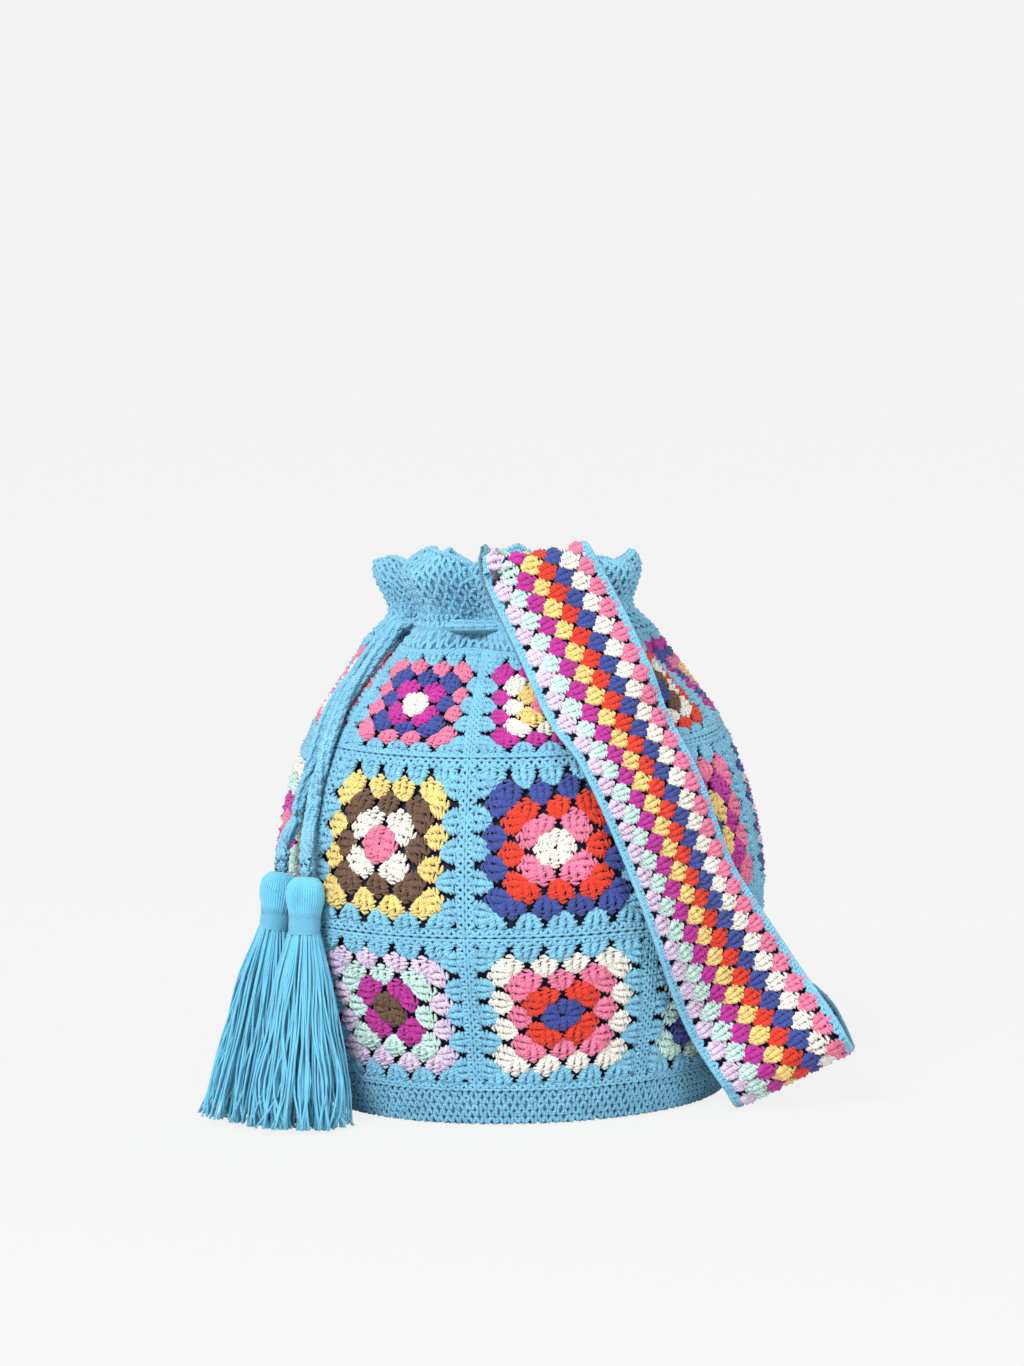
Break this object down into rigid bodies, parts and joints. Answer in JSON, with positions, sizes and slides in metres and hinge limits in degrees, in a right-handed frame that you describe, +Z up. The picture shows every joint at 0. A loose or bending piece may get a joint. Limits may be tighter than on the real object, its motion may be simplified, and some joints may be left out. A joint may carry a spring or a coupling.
{
  "type": "crocheted bucket bag",
  "caption": "Crocheted drawstring bucket bag of granny squares with a gathered collar, two tassels, a cloth lining and one broad striped strap.",
  "frame": {"origin": "centre of the base's flat underside, on the surface that the bag stands on", "axes": "+Z up through the mouth, -Y towards the front, where the strap comes down, +X to the right seen from the front"},
  "size_m": [0.3625, 0.2735, 0.3152],
  "materials": {
    "light_blue_yarn": "dense cotton crochet, matt",
    "granny_yarn": "granny squares in mixed cotton colours, matt",
    "strap_yarn": "eight coloured rows of cotton clusters, matt",
    "tassel_yarn": "loose twisted cotton strands, slight sheen",
    "lining_cloth": "dark plain-woven cloth",
    "stud_metal": "bright"
  },
  "bodies": {
    "root": {"granny_square_low_1": "granny_yarn", "granny_square_low_2": "granny_yarn", "granny_square_low_3": "granny_yarn", "granny_square_low_4": "granny_yarn", "granny_square_low_5": "granny_yarn", "granny_square_low_6": "granny_yarn", "granny_square_low_7": "granny_yarn", "granny_square_low_8": "granny_yarn", "granny_square_mid_1": "granny_yarn", "granny_square_mid_2": "granny_yarn", "granny_square_mid_3": "granny_yarn", "granny_square_mid_4": "granny_yarn", "granny_square_mid_5": "granny_yarn", "granny_square_mid_6": "granny_yarn", "granny_square_mid_7": "granny_yarn", "granny_square_mid_8": "granny_yarn", "granny_square_top_1": "granny_yarn", "granny_square_top_2": "granny_yarn", "granny_square_top_3": "granny_yarn", "granny_square_top_4": "granny_yarn", "granny_square_top_5": "granny_yarn", "granny_square_top_6": "granny_yarn", "granny_square_top_7": "granny_yarn", "granny_square_top_8": "granny_yarn", "base": "light_blue_yarn", "lining": "lining_cloth", "drawstring_loop": "light_blue_yarn", "drawstring_tail_front": "light_blue_yarn", "drawstring_tail_back": "light_blue_yarn", "collar": "light_blue_yarn", "tassel_front": "tassel_yarn", "tassel_front_binding": "tassel_yarn", "tassel_back": "tassel_yarn", "tassel_back_binding": "tassel_yarn", "strap": "strap_yarn", "stud": "stud_metal"}
  },
  "joints": []
}
